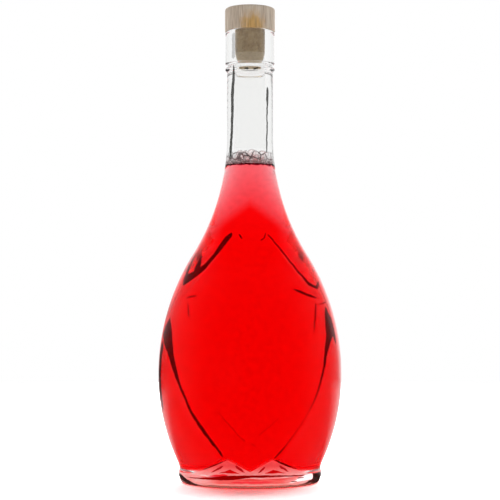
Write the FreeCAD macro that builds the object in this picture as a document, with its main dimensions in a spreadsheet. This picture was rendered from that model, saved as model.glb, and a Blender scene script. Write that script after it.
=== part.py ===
"""Glass decanter bottle with moulded panels, a red drink in it, and a wood-topped cork stopper.

Millimetres, +Z up, origin at the centre of the ring that the bottle stands on.
"""
import FreeCAD, Part
import math
import os
import Sketcher

# Driving sizes, one sheet cell each
SIZES = {
    # foot and base
    "foot_radius": 42.9,
    "foot_band": 6.4,
    "heel_round": 3.0,
    "stand_ring": 6.9,
    "pushup_rise": 2.5,
    "base_thickness": 5.2,
    "inner_heel": 10.0,
    # belly and shoulder
    "waist_round": 16.0,
    "belly_radius": 56.1,
    "belly_height": 66.0,
    "shoulder_bulge": 138.0,
    "wall": 3.6,
    # neck and finish, upwards
    "neck_radius": 14.2,
    "neck_bore": 9.8,
    "neck_start": 212.0,
    "neck_length": 40.0,
    "bead_height": 3.4,
    "bead_bulge": 1.05,
    "bead_groove": 1.6,
    "collar_length": 20.4,
    "collar_step": 1.05,
    "collar_edge": 0.8,
    "lip_round": 1.5,
    "mouth_round": 0.8,
    "mouth_bore": 9.25,
    "mouth_depth": 24.0,
    "mouth_taper": 6.0,
    # sunk table on the front and on the back, outlined by creases
    "table_depth": 0.8,
    "table_apex": 163.0,
    "table_corner_height": 112.0,
    "table_side_height": 99.0,
    "table_side_inset": 5.1,
    "table_arc": 121.0,
    "table_foot_height": 15.0,
    "table_tip_height": 9.0,
    # drink
    "fill_level": 195.0,
    "drink_gap": 0.15,
    # stopper
    "head_radius": 15.5,
    "head_height": 14.6,
    "head_round": 3.0,
    "head_edge": 0.6,
    "socket_depth": 5.0,
    "glue_gap": 0.05,
    "shank_clearance": 0.05,
    "shank_length": 19.1,
    "shank_tip_length": 1.2,
    "shank_tip_step": 2.1,
    "shank_chamfer": 3.0,
}

SHEET = "Sizes"
ORIGIN = (-1, 1)
LEVEL_AXIS = -1
UPRIGHT_AXIS = -2
START, END, CENTRE = 1, 2, 3
FULL_TURN = 360.0
CUBIC_MM_PER_ML = 1000

doc = FreeCAD.newDocument("decanter_bottle")
sheet = doc.addObject("Spreadsheet::Sheet", SHEET)
for row, (alias, amount) in enumerate(SIZES.items(), start=1):
    sheet.set(f"A{row}", alias)
    sheet.set(f"B{row}", str(amount))
    sheet.setAlias(f"B{row}", alias)
doc.recompute()


class Length:
    """A length worked out from sheet sizes: its number now, and the formula that ties it to the sheet."""

    def __init__(self, number, formula):
        self.number = number
        self.formula = formula

    def __add__(self, other):
        return Length(self.number + other.number, f"({self.formula} + {other.formula})")

    def __sub__(self, other):
        return Length(self.number - other.number, f"({self.formula} - {other.formula})")

    def __mul__(self, times):
        return Length(self.number * times, f"({self.formula} * {times})")

    def squared(self):
        return Length(self.number**2, f"({self.formula}^2)")

    def over(self, other):
        return Length(self.number / other.number, f"({self.formula} / {other.formula})")


def size(name):
    return Length(sheet.get(name), f"{SHEET}.{name}")


ZERO = Length(0.0, "0")


def numbers_of(spot):
    return tuple(value.number if isinstance(value, Length) else value for value in spot)


def anticlockwise(first, last):
    """Two angles in the order of an arc that runs anticlockwise from the first."""
    return (first, last if last > first else last + 2 * math.pi)


class Outline:
    """A closed chain of lines and arcs, sketched on its body's own upright origin plane.

    A spot is a pair, across and up. A Length in it is bound to the sheet, and a plain number is
    only where the sketch starts to look: the tangent joins settle it.
    """

    def __init__(self, body, name, first_spot):
        self.sketch = body.newObject("Sketcher::SketchObject", name)
        plane = next(p for p in body.Origin.OriginFeatures if p.Role == "XZ_Plane")
        self.sketch.AttachmentSupport = (plane, [""])
        self.sketch.MapMode = "FlatFace"
        self.first_spot = first_spot
        self.here = numbers_of(first_spot)
        self.first_point = None
        self.last_point = None

    def _constrain(self, *words):
        return self.sketch.addConstraint(Sketcher.Constraint(*words))

    def _bind(self, length, *words):
        index = self._constrain(*words, length.number)
        self.sketch.setExpression(f"Constraints[{index}]", length.formula)

    def _pin(self, point, spot):
        sides = (("DistanceX", UPRIGHT_AXIS), ("DistanceY", LEVEL_AXIS))
        for value, (kind, axis) in zip(spot, sides):
            if value is ZERO:
                self._constrain("PointOnObject", *point, axis)
            elif isinstance(value, Length):
                self._bind(value, kind, *ORIGIN, *point)

    def _join(self, edge, near, far, spot, tangent):
        if self.last_point is None:
            self.first_point = (edge, near)
            self._pin(self.first_point, self.first_spot)
        else:
            self._constrain("Tangent" if tangent else "Coincident", *self.last_point, edge, near)
        self.last_point = (edge, far)
        self.here = numbers_of(spot)
        self._pin(self.last_point, spot)

    def _straight(self, spot):
        ends = [FreeCAD.Vector(*place, 0) for place in (self.here, numbers_of(spot))]
        return self.sketch.addGeometry(Part.LineSegment(*ends))

    def line(self, spot, tangent=False):
        """A straight edge from the last spot to this one."""
        self._join(self._straight(spot), START, END, spot, tangent)

    def arc(self, centre, spot, radius=None, tangent=False, clockwise=False):
        """An arc about centre from the last spot to this one. A sketch's own arcs run anticlockwise."""
        middle = numbers_of(centre)
        ends = [self.here, numbers_of(spot)]
        near, far = (END, START) if clockwise else (START, END)
        if clockwise:
            ends.reverse()
        angles = [math.atan2(up - middle[1], across - middle[0]) for across, up in ends]
        reach = math.dist(middle, ends[0])
        circle = Part.Circle(FreeCAD.Vector(*middle, 0), FreeCAD.Vector(0, 0, 1), reach)
        edge = self.sketch.addGeometry(Part.ArcOfCircle(circle, *anticlockwise(*angles)))
        self._join(edge, near, far, spot, tangent)
        self._pin((edge, CENTRE), centre)
        if radius is not None:
            self._bind(radius, "Radius", edge)

    def rounding(self, across, up, radius, spot, clockwise=False):
        """A quarter round of a known centre and radius, whose two ends are both pinned."""
        self.arc(numbers_of((across, up)), spot, radius=radius, clockwise=clockwise)

    def close(self):
        """The last straight edge, back to the first spot."""
        edge = self._straight(self.first_spot)
        self._constrain("Coincident", *self.last_point, edge, START)
        self._constrain("Coincident", edge, END, *self.first_point)
        doc.recompute()
        if not self.sketch.FullyConstrained:
            raise RuntimeError(f"{self.sketch.Label} is loose")
        return self.sketch


def new_body(label):
    return doc.addObject("PartDesign::Body", label)


def turn(body, outline, kind="PartDesign::Revolution"):
    """Turns a closed outline about the upright axis, to add to the body or to cut it."""
    sketch = outline.close()
    feature = body.newObject(kind, sketch.Name + "_turned")
    feature.Profile = sketch
    feature.ReferenceAxis = (sketch, ["V_Axis"])
    feature.Angle = FULL_TURN
    doc.recompute()


def cut(label, base, tool):
    result = doc.addObject("Part::Cut", label)
    result.Base = base
    result.Tool = tool
    doc.recompute()
    return result


# Heights that several pieces share
bead_low = size("neck_start") + size("neck_length")
bead_top = bead_low + size("bead_height")
collar_low = bead_top + size("bead_groove")
lip = collar_low + size("collar_length")
head_top = lip + size("head_height")
shank_radius = size("mouth_bore") - size("shank_clearance")


def belly_bulge():
    """The radius of the bulge below the widest ring, which runs smoothly into the waist."""
    across = size("foot_radius") + size("waist_round") - size("belly_radius")
    rise = size("belly_height") - size("foot_band")
    hollow = size("waist_round")
    return (across.squared() + rise.squared() - hollow.squared()).over((hollow - across) * 2)


def bead_round():
    """The radius of an arc as high as the bead that stands out by the bead's bulge."""
    half = size("bead_height") * 0.5
    bulge = size("bead_bulge")
    return (half.squared() + bulge.squared()).over(bulge * 2)


def towards(start, end, distance):
    share = distance / math.dist(start, end)
    return tuple(a + share * (b - a) for a, b in zip(start, end))


def sweep_radius(across, rise, bulge):
    """The radius of the hollow arc that runs from a bulge into an upright line."""
    return (across**2 + rise**2 - bulge**2) / (2 * (bulge - across))


def draw_belly(outline, inset, neck):
    """Both bulges and the shoulder's hollow sweep up to the neck, drawn in by the inset."""
    height = size("belly_height")
    widest = size("belly_radius") - inset
    lower = belly_bulge() - inset
    upper = size("shoulder_bulge") - inset
    neck_start = size("neck_start")
    lower_centre = (widest.number - lower.number, height)
    upper_centre = (widest.number - upper.number, height)
    rise = neck_start.number - height.number
    sweep = sweep_radius(neck.number - upper_centre[0], rise, upper.number)
    sweep_centre = (neck.number + sweep, neck_start)
    turning_point = towards(numbers_of(upper_centre), numbers_of(sweep_centre), upper.number)
    outline.arc(lower_centre, (widest, height.number), radius=lower, tangent=True)
    outline.arc(upper_centre, turning_point, radius=upper, tangent=True)
    outline.arc(sweep_centre, (neck, neck_start), tangent=True, clockwise=True)


def draw_waist(outline, inset):
    """The foot's upright band and the hollow above it, up to the lower bulge, drawn in by the inset."""
    foot = size("foot_radius") - inset
    hollow = size("waist_round") + inset
    bulge = belly_bulge() - inset
    bulge_centre = numbers_of((size("belly_radius") - inset - bulge, size("belly_height")))
    hollow_centre = numbers_of((foot + hollow, size("foot_band")))
    waist_top = towards(bulge_centre, hollow_centre, bulge.number)
    outline.line((foot, hollow_centre[1]))
    outline.arc(hollow_centre, waist_top, radius=hollow, tangent=True, clockwise=True)


def draw_finish(outline):
    """The neck, its bead, the collar and the rounded lip, up to the axis."""
    neck = size("neck_radius")
    bead = bead_round()
    bead_centre = (neck + size("bead_bulge") - bead, bead_low + size("bead_height") * 0.5)
    collar = neck + size("collar_step")
    edge = size("collar_edge")
    lip_round = size("lip_round")
    outline.line((neck, bead_low))
    outline.rounding(*bead_centre, bead, (neck, bead_top))
    outline.line((neck, collar_low))
    outline.line((collar - edge, collar_low))
    outline.rounding(collar - edge, collar_low + edge, edge, (collar, collar_low + edge))
    outline.line((collar, lip - lip_round))
    outline.rounding(collar - lip_round, lip - lip_round, lip_round, (collar - lip_round, lip))
    outline.line((ZERO, lip))


def outside_outline(body):
    """Half of the bottle's outside, with its push-up, heel, foot, belly, shoulder and finish."""
    rise = size("pushup_rise")
    heel = size("heel_round")
    foot = size("foot_radius")
    pushup = foot - heel - size("stand_ring")
    dome = (pushup.squared() + rise.squared()).over(rise * 2)
    outline = Outline(body, "outside", (ZERO, rise))
    outline.arc((ZERO, rise.number - dome.number), (pushup, ZERO), clockwise=True)
    outline.line((foot - heel, ZERO))
    outline.rounding(foot - heel, heel, heel, (foot, heel))
    draw_waist(outline, ZERO)
    draw_belly(outline, ZERO, size("neck_radius"))
    draw_finish(outline)
    return outline


def cavity_outline(body, gap):
    """Half of the hollow inside, from the floor to the mouth, drawn in by the gap."""
    inset = size("wall") + gap
    floor = size("base_thickness") + gap
    heel = size("inner_heel") - gap
    bulge = belly_bulge() - inset
    bulge_centre = numbers_of((size("belly_radius") - inset - bulge, size("belly_height")))
    heel_up = floor.number + heel.number
    reach = bulge.number - heel.number
    heel_across = bulge_centre[0] + math.sqrt(reach**2 - (bulge_centre[1] - heel_up) ** 2)
    heel_centre = (heel_across, heel_up)
    neck = size("neck_bore") - gap
    mouth = size("mouth_bore") - gap
    flare = size("mouth_round")
    mouth_low = lip - size("mouth_depth")
    outline = Outline(body, "hollow", (ZERO, floor))
    outline.line((heel_across, floor))
    outline.arc(heel_centre, towards(bulge_centre, heel_centre, bulge.number), radius=heel, tangent=True)
    draw_belly(outline, inset, neck)
    outline.line((neck, mouth_low - size("mouth_taper")))
    outline.line((mouth, mouth_low))
    outline.line((mouth, lip - flare))
    outline.rounding(mouth + flare, lip - flare, flare, (mouth + flare, lip), clockwise=True)
    outline.line((ZERO, lip))
    return outline


def make_shell():
    """The blown bottle before its tables are pressed in."""
    body = new_body("bottle_shell")
    turn(body, outside_outline(body))
    turn(body, cavity_outline(body, ZERO), "PartDesign::Groove")
    return body


def make_table_core():
    """The bottle's outside, sunk by the depth of the tables."""
    body = new_body("table_core")
    depth = size("table_depth")
    base = size("heel_round")
    outline = Outline(body, "core", (ZERO, base))
    outline.line((size("foot_radius") - depth, base))
    draw_waist(outline, depth)
    draw_belly(outline, depth, size("neck_radius") - depth)
    outline.line((ZERO, size("neck_start")))
    turn(body, outline)
    return body


def make_table_prism():
    """The tables' outline seen from the front, run right through from front to back."""
    body = new_body("table_prism")
    side = size("belly_radius") - size("table_side_inset")
    side_up = size("table_side_height")
    foot_up = size("table_foot_height")
    arc = size("table_arc")
    arc_across = side.number - arc.number
    foot_across = arc_across + math.sqrt(arc.number**2 - (side_up.number - foot_up.number) ** 2)
    outline = Outline(body, "half_table", (ZERO, size("table_tip_height")))
    outline.line((foot_across, foot_up))
    outline.arc((arc_across, side_up), (side, side_up.number), radius=arc)
    outline.line((side, size("table_corner_height")), tangent=True)
    outline.line((ZERO, size("table_apex")))
    sketch = outline.close()
    half = body.newObject("PartDesign::Pad", "half_prism")
    half.Profile = sketch
    half.SideType = "Symmetric"
    half.setExpression("Length", (size("belly_radius") * 3).formula)
    doc.recompute()
    whole = body.newObject("PartDesign::Mirrored", "whole_prism")
    whole.Originals = [half]
    whole.MirrorPlane = (sketch, ["V_Axis"])
    body.Tip = whole
    doc.recompute()
    return body


def make_bottle():
    """Clear glass, with a sunk table on its front and on its back."""
    sunk = cut("table_cutter", make_table_prism(), make_table_core())
    return cut("bottle_glass", make_shell(), sunk)


def make_drink():
    """The drink fills the hollow up to the fill level."""
    body = new_body("drink")
    turn(body, cavity_outline(body, size("drink_gap")))
    level = size("fill_level")
    across = size("belly_radius")
    outline = Outline(body, "empty_part", (ZERO, level))
    outline.line((across, level))
    outline.line((across, head_top))
    outline.line((ZERO, head_top))
    turn(body, outline, "PartDesign::Groove")
    return body


def make_head():
    """Turned wooden head, with a blind socket that the shank is glued into."""
    body = new_body("stopper_head")
    socket = shank_radius + size("glue_gap")
    socket_top = lip + size("socket_depth")
    side = size("head_radius")
    edge = size("head_edge")
    top_round = size("head_round")
    outline = Outline(body, "head", (ZERO, socket_top))
    outline.line((socket, socket_top))
    outline.line((socket, lip))
    outline.line((side - edge, lip))
    outline.rounding(side - edge, lip + edge, edge, (side, lip + edge))
    outline.line((side, head_top - top_round))
    outline.rounding(side - top_round, head_top - top_round, top_round, (side - top_round, head_top))
    outline.line((ZERO, head_top))
    turn(body, outline)
    return body


def make_shank():
    """Cork shank, with a stepped and chamfered lower end."""
    body = new_body("stopper_shank")
    low = lip - size("shank_length")
    step = low + size("shank_tip_length")
    tip = shank_radius - size("shank_tip_step")
    top = lip + size("socket_depth") - size("glue_gap")
    outline = Outline(body, "shank", (ZERO, low))
    outline.line((tip, low))
    outline.line((tip, step))
    outline.line((shank_radius, step + size("shank_chamfer")))
    outline.line((shank_radius, top))
    outline.line((ZERO, top))
    turn(body, outline)
    return body


def write_parts(parts):
    for thing in doc.Objects:
        if "Invalid" in thing.State or "Error" in thing.State:
            raise RuntimeError(f"{thing.Label} failed: {thing.State}")
    for part in parts:
        if part.Shape.isNull() or not part.Shape.isValid():
            raise RuntimeError(f"{part.Label} has no sound shape")
    os.makedirs("parts", exist_ok=True)
    for part in parts:
        part.Shape.exportStep(f"parts/{part.Label}.step")
        millilitres = part.Shape.Volume / CUBIC_MM_PER_ML
        print(f"{part.Label}: {millilitres:.1f} ml, {len(part.Shape.Solids)} solid")


write_parts([make_bottle(), make_drink(), make_head(), make_shank()])
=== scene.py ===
"""The looks of a red-filled decanter bottle with a wood-topped cork stopper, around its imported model."""
import functools
import math
import random

import bmesh
import bpy
from mathutils import Matrix, Vector, noise


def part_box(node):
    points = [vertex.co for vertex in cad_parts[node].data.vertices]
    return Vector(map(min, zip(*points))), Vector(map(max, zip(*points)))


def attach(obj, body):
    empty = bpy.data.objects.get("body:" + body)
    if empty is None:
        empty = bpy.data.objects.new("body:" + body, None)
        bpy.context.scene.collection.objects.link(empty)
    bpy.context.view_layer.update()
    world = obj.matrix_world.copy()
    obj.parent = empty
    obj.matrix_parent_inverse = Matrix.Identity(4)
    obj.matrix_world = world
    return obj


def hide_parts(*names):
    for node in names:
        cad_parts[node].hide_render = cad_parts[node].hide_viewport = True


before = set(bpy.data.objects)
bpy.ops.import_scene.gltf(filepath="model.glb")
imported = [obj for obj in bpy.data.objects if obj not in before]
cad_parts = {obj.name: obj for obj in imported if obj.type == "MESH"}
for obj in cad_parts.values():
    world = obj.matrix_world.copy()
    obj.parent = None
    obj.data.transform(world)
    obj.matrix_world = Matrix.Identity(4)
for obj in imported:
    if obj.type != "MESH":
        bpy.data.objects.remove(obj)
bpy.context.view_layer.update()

MM = 0.001

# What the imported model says
BELLY_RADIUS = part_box("bottle_glass")[1].x
LIP_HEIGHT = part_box("bottle_glass")[1].z
FILL_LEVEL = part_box("drink")[1].z
HEAD_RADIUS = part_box("stopper_head")[1].x
HEAD_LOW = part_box("stopper_head")[0].z
HEAD_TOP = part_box("stopper_head")[1].z
SHANK_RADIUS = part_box("stopper_shank")[1].x
SHANK_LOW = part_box("stopper_shank")[0].z
SHANK_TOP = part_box("stopper_shank")[1].z

# Bottle wall, outside and inside
FOOT_RADIUS = 42.9 * MM
FOOT_BAND = 6.4 * MM
HEEL_ROUND = 3.0 * MM
PUSHUP_RADIUS = 33.0 * MM
PUSHUP_RISE = 2.5 * MM
BASE_THICKNESS = 5.2 * MM
INNER_HEEL = 10.0 * MM
WAIST_ROUND = 16.0 * MM
BELLY_HEIGHT = 66.0 * MM
SHOULDER_BULGE = 138.0 * MM
WALL = 3.6 * MM
NECK_RADIUS = 14.2 * MM
NECK_BORE = 9.8 * MM
NECK_START = 212.0 * MM

# Neck finish, measured down from the lip
COLLAR_RADIUS = 15.25 * MM
COLLAR_DROP = 20.4 * MM
BEAD_DROP = 25.4 * MM
BEAD_HEIGHT = 3.4 * MM
BEAD_BULGE = 1.05 * MM
LIP_ROUND = 1.5 * MM
MOUTH_ROUND = 0.8 * MM
MOUTH_BORE = 9.25 * MM
MOUTH_DROP = 24.0 * MM
TAPER_DROP = 30.0 * MM
EDGE_ROUND = 0.45 * MM

# Pressed relief, seen from the front
TABLE_DEPTH = 0.8 * MM
TABLE_SIDE = (0.45, 0.85)
TABLE_FADE = (156.0 * MM, 140.0 * MM)
CREASE_WIDTH = 2.0 * MM
TABLE_APEX = 163.5 * MM
TABLE_SLOPE = 1.21
LEAF_ARC = 121.0 * MM
LEAF_SIDE = 51.0 * MM
LEAF_HEIGHT = 99.2 * MM

# The thick foot's zigzag edge, by the turn from the front
FOOT_VALLEY = 10.1 * MM
FOOT_PEAK = 17.4 * MM
FOOT_PEAK_TURN = math.radians(16.2)
FOOT_END = 7.3 * MM
FOOT_END_TURN = math.radians(68.0)
FOOT_RIDGE = 0.7 * MM
FOOT_ROW = 11.0 * MM
FOOT_ROWS_TOP = 32.0 * MM

# Dark strokes of painted shade where the creases turn the light away: height, place across and half width
# across, in mm
LEFT_STROKES = (
    (18.5, -15.4, 0.0), (20.4, -16.8, 0.55), (28.1, -22.6, 1.0), (36.1, -28.6, 1.1),
    (44.5, -34.2, 0.85), (48.3, -36.1, 0.65), (59.2, -40.8, 0.75), (65.9, -43.4, 0.95),
    (71.7, -45.2, 1.35), (78.1, -47.0, 1.65), (84.0, -48.8, 2.4), (90.5, -49.5, 2.7),
    (95.6, -49.1, 1.7), (99.8, -48.2, 0.4), (100.6, -48.0, 0.0), (119.6, -39.9, 0.0),
    (120.5, -39.4, 1.1), (123.7, -36.3, 2.5), (126.9, -32.9, 3.2), (129.4, -28.6, 2.1),
    (132.5, -25.4, 1.25), (138.6, -20.1, 1.25), (144.1, -16.3, 1.65), (148.6, -12.9, 1.7),
    (150.6, -11.4, 0.9), (151.4, -11.0, 0.0),
)
LEFT_RIM_STROKES = (
    (43.0, -52.0, 0.0), (46.0, -52.6, 0.5), (55.5, -54.2, 0.8), (65.7, -54.6, 0.85),
    (74.8, -54.2, 0.85), (83.8, -53.0, 0.85), (87.0, -52.1, 0.0), (120.0, -39.6, 0.0),
    (122.4, -39.4, 0.9), (131.3, -36.7, 0.7), (138.7, -33.1, 0.45), (140.0, -32.4, 0.0),
)
LEFT_MARKS = (
    (100.4, -36.0, 0.0), (101.3, -36.1, 0.36), (108.0, -36.8, 0.3), (109.0, -37.0, 0.0),
    (127.5, -31.6, 0.0), (128.8, -31.7, 1.8), (132.1, -30.8, 1.3), (137.1, -29.4, 0.4),
    (138.0, -29.2, 0.0), (147.0, -4.6, 0.0), (147.7, -5.0, 0.5), (149.9, -6.2, 0.5), (150.5, -6.4, 0.0),
)
RIGHT_STROKES = (
    (17.8, 14.1, 0.0), (18.8, 14.9, 0.45), (22.0, 17.8, 0.55), (25.3, 20.7, 0.3), (36.0, 28.6, 0.2),
    (45.0, 34.4, 0.2), (52.6, 38.3, 0.34), (62.4, 41.6, 0.5), (71.7, 44.0, 0.62), (79.3, 45.0, 0.92),
    (85.2, 46.3, 1.4), (90.5, 47.8, 2.1), (95.3, 47.7, 2.4), (100.1, 46.8, 1.8), (105.8, 45.4, 0.6),
    (107.0, 45.2, 0.0), (117.2, 40.4, 0.0), (118.4, 39.6, 1.6), (119.2, 37.1, 2.0), (121.8, 33.7, 0.85),
    (128.8, 27.8, 0.58), (139.4, 19.5, 0.54), (149.4, 11.1, 0.5), (150.4, 10.5, 0.0),
)
RIGHT_MARKS = (
    (84.0, 51.9, 0.0), (85.0, 51.7, 0.3), (87.8, 50.9, 0.75), (94.1, 49.0, 1.5), (98.0, 48.4, 0.0),
    (107.9, 41.0, 0.0), (108.7, 43.0, 0.9), (109.3, 44.9, 0.9), (109.8, 45.6, 0.0), (111.9, 39.0, 0.0),
    (112.4, 38.1, 1.7), (114.7, 32.0, 1.5), (116.8, 26.9, 1.1), (117.2, 26.0, 0.0), (118.0, 40.0, 0.0),
    (119.0, 40.4, 0.9), (121.4, 41.2, 0.7), (122.6, 41.6, 0.0), (146.0, 6.2, 0.0), (146.6, 6.9, 0.6),
    (147.8, 8.5, 0.4), (150.5, 9.2, 0.3), (151.0, 9.4, 0.0),
)
RIGHT_STAR = (
    (90.0, 37.4, 0.0), (91.9, 37.6, 0.2), (100.1, 38.6, 0.4), (108.2, 39.2, 0.4), (109.2, 39.6, 0.0),
)
LEFT_NECK = (
    (197.4, -12.0, 0.0), (198.6, -12.0, 0.75), (202.9, -11.9, 0.8), (206.6, -11.6, 0.7),
    (212.2, -11.3, 0.75), (217.6, -11.0, 0.75), (225.0, -10.85, 0.8), (232.4, -10.8, 0.85),
    (239.8, -10.7, 0.9), (244.6, -10.3, 0.75), (250.0, -9.9, 0.65), (253.4, -9.9, 0.5),
    (256.0, -10.0, 0.0),
)
RIGHT_NECK = (
    (200.6, 10.0, 0.0), (201.5, 10.0, 0.32), (205.2, 10.2, 0.42), (217.6, 10.4, 0.45),
    (224.9, 10.4, 0.45), (231.1, 10.5, 0.55), (236.1, 10.7, 0.7), (239.0, 10.7, 0.65),
    (241.0, 10.6, 0.5), (241.6, 10.6, 0.0),
)
RIGHT_EDGE = (
    (184.0, 16.5, 0.0), (189.7, 15.0, 0.3), (195.9, 14.3, 0.4), (203.5, 14.0, 0.4), (210.9, 13.75, 0.4),
    (237.0, 13.8, 0.4), (244.4, 13.7, 0.5), (249.1, 13.4, 0.6), (250.0, 13.3, 0.0),
)
LEFT_COLLAR = (
    (258.6, -10.2, 0.0), (259.6, -10.2, 0.9), (274.0, -10.0, 0.9), (275.0, -10.0, 0.0),
)

# Painted shade in lines that run more across than up: place across, height and half height, in mm
CREST_LINES = (
    (-38.4, 111.8, 0.0), (-37.5, 112.0, 0.3), (-35.0, 112.7, 0.4), (-32.0, 113.1, 0.25),
    (-31.0, 113.2, 0.0), (-28.0, 10.8, 0.0), (-26.5, 11.3, 0.3), (-21.3, 13.5, 0.5), (-16.4, 15.7, 0.5),
    (-13.4, 17.0, 0.3), (-12.8, 17.4, 0.0), (14.2, 17.4, 0.0), (15.2, 16.9, 0.4), (18.1, 15.3, 0.6),
    (22.2, 13.4, 0.5), (27.1, 11.5, 0.3), (28.4, 11.0, 0.0),
)
FAINT_LINES = (
    (-18.6, 45.6, 0.0), (-17.8, 44.7, 0.45), (-11.0, 37.0, 0.5), (-4.6, 29.9, 0.55), (-3.2, 29.0, 0.5),
    (-2.6, 28.6, 0.0), (0.8, 27.2, 0.0), (1.2, 26.9, 0.4), (3.3, 25.3, 0.4), (3.9, 24.8, 0.0),
    (4.8, 31.9, 0.0), (5.4, 32.4, 0.35), (10.4, 36.4, 0.3), (16.2, 41.4, 0.25), (17.0, 42.0, 0.0),
)

# Drops below the shank, drawn in painted shade: place across, height and half height, in mm
DROPS = (
    (-4.2, 252.4, 0.0), (-3.2, 252.4, 0.45), (-1.4, 252.3, 0.55), (-0.4, 252.4, 0.0), (1.8, 252.0, 0.0),
    (2.6, 252.2, 0.5), (4.6, 252.6, 0.45), (5.6, 252.8, 0.0),
)

# Painted light and shade in the thick foot, in patches and strokes: place across, height and half height, in
# mm
FOOT_TRIANGLES = (
    (-18.6, 9.3, 0.0), (-17.6, 9.4, 0.3), (-14.6, 9.9, 0.55), (-11.7, 10.5, 1.1), (-9.0, 9.9, 0.55),
    (-6.6, 9.4, 0.25), (-5.4, 9.4, 0.0), (8.0, 9.3, 0.0), (9.0, 9.4, 0.3), (11.2, 9.9, 0.6),
    (13.6, 10.4, 1.05), (16.4, 9.9, 0.6), (19.6, 9.4, 0.3), (22.0, 9.3, 0.0),
)
FOOT_BARS = (
    (-23.4, 9.2, 0.0), (-21.6, 10.1, 0.45), (-17.0, 12.8, 0.75), (-15.4, 13.7, 0.0), (-8.8, 14.0, 0.0),
    (-7.8, 13.3, 0.8), (-4.4, 11.1, 0.7), (-2.6, 9.9, 0.0), (4.4, 9.5, 0.0), (6.0, 10.7, 0.7),
    (8.0, 12.4, 0.75), (9.2, 13.4, 0.0), (16.6, 13.9, 0.0), (17.8, 13.1, 0.75), (21.4, 10.8, 0.55),
    (23.0, 9.7, 0.0),
)
FOOT_WAVE = (
    (-38.0, 5.2, 0.0), (-35.5, 5.2, 0.3), (-26.5, 5.6, 0.6), (-20.5, 6.0, 0.9), (-13.6, 6.6, 1.2),
    (-5.8, 7.2, 1.0), (0.6, 7.7, 0.7), (13.4, 7.7, 0.55), (23.5, 7.4, 0.45), (31.4, 7.1, 0.4),
    (33.0, 7.0, 0.0),
)
FOOT_REDS = (
    (-26.0, 6.6, 0.0), (-20.5, 7.5, 0.7), (-15.0, 8.1, 0.6), (-12.0, 8.4, 0.0), (-11.9, 4.1, 0.0),
    (-9.0, 4.1, 0.5), (3.0, 4.2, 0.65), (10.0, 4.2, 0.5), (15.0, 4.2, 0.0),
)
FOOT_CREAM = (
    (-38.0, 4.4, 0.0), (-35.8, 3.6, 0.4), (-32.6, 2.8, 0.4), (-27.7, 2.5, 0.45), (-15.8, 2.5, 0.4),
    (0.6, 2.6, 0.4), (20.5, 2.6, 0.45), (29.0, 2.6, 0.5), (31.4, 2.6, 0.0),
)
FOOT_BROWN = (
    (-37.0, 0.8, 0.9), (0.0, 0.8, 0.9), (37.0, 0.8, 0.9),
)
FOOT_ENDS = (
    (-43.6, 4.6, 1.6), (-41.0, 4.2, 1.6), (-39.0, 3.2, 1.3), (-36.4, 2.2, 1.1), (-33.2, 1.5, 0.7),
    (-27.0, 1.2, 0.0), (24.0, 1.5, 0.0), (30.0, 1.8, 0.35), (34.0, 2.2, 0.6), (36.0, 3.0, 1.0),
    (37.4, 4.4, 2.6), (43.6, 4.4, 3.2),
)
FOOT_STREAKS = (
    (23.6, 3.6, 0.0), (24.4, 3.7, 0.35), (27.4, 3.9, 0.35), (27.8, 4.0, 0.0), (27.9, 5.8, 0.0),
    (28.4, 5.8, 0.35), (31.6, 5.7, 0.35), (32.2, 5.7, 0.0),
)
FOOT_GLINT = (
    (22.0, 3.0, 0.0), (24.5, 3.2, 0.3), (28.0, 4.4, 0.7), (31.0, 5.2, 1.2), (33.5, 5.6, 1.5),
    (36.2, 5.6, 1.6), (37.2, 5.6, 1.2), (37.6, 5.6, 0.0),
)

# The painted light and shade that the foot's strokes are filled with, in the order in which they are laid,
# and the foot's other shades, most of them painted light and shade too
FOOT_PATCHES = (
    (FOOT_CREAM, (1.0, 0.60, 0.54)),
    (FOOT_REDS, (1.0, 0.03, 0.05)),
    (FOOT_TRIANGLES, (0.55, 0.004, 0.008)),
    (FOOT_BARS, (0.34, 0.006, 0.016)),
    (FOOT_WAVE, (0.17, 0.0, 0.0)),
    (FOOT_BROWN, (0.30, 0.13, 0.09)),
)
# Painted light: the foot paler low down and redder higher up, between these heights in mm
FOOT_PAINTED_SHADES = ((1.0, 0.84, 0.81), (0.95, 0.20, 0.21))
FOOT_SHADES_UP = (8.5, 14.0)
FOOT_CLOUD = (1.0, 0.30, 0.30)
FOOT_CLOUD_SHARE = 0.35
# Painted light: a red flush low down in the middle of the foot, between these heights and places across in mm
FOOT_FLUSH = (1.0, 0.16, 0.15)
FOOT_FLUSH_UP = (8.5, 6.0)
FOOT_FLUSH_SIDE = (30.0, 17.0)
FOOT_CLEARNESS = 0.62
# Painted shade at the foot's dark ends and in its dark streaks
FOOT_END_PAINTED_SHADE = (0.008, 0.006, 0.005)
FOOT_STREAK_PAINTED_SHADE = (0.02, 0.012, 0.01)

# The painted shade that the other strokes are filled with
STROKE_PAINTED_SHADE = (0.016, 0.0, 0.002)
LINE_PAINTED_SHADE = (0.010, 0.010, 0.009)
EDGE_PAINTED_SHADE = (0.35, 0.35, 0.34)
FAINT_PAINTED_SHADE = (0.6, 0.1, 0.1)

# How strokes are drawn, in mm: their bounds, soft edges, swell and unsteadiness
STROKE_REACH = 60.0
STROKE_BROADEST = 8.0
STROKE_SOFTNESS = 0.2
STROKE_SWELL = 1.2
STROKE_WOBBLE = 0.4
STROKE_WAVER = 260.0

# How far round the sides strokes slim, and the slants at which they broaden and rim strokes show
STROKE_SIDE = (0.70, 0.80)
STROKE_SLANT = (0.20, 0.36)
STROKE_SLIM = 0.35
RIM_SLANT = (0.32, 0.50)

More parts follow.
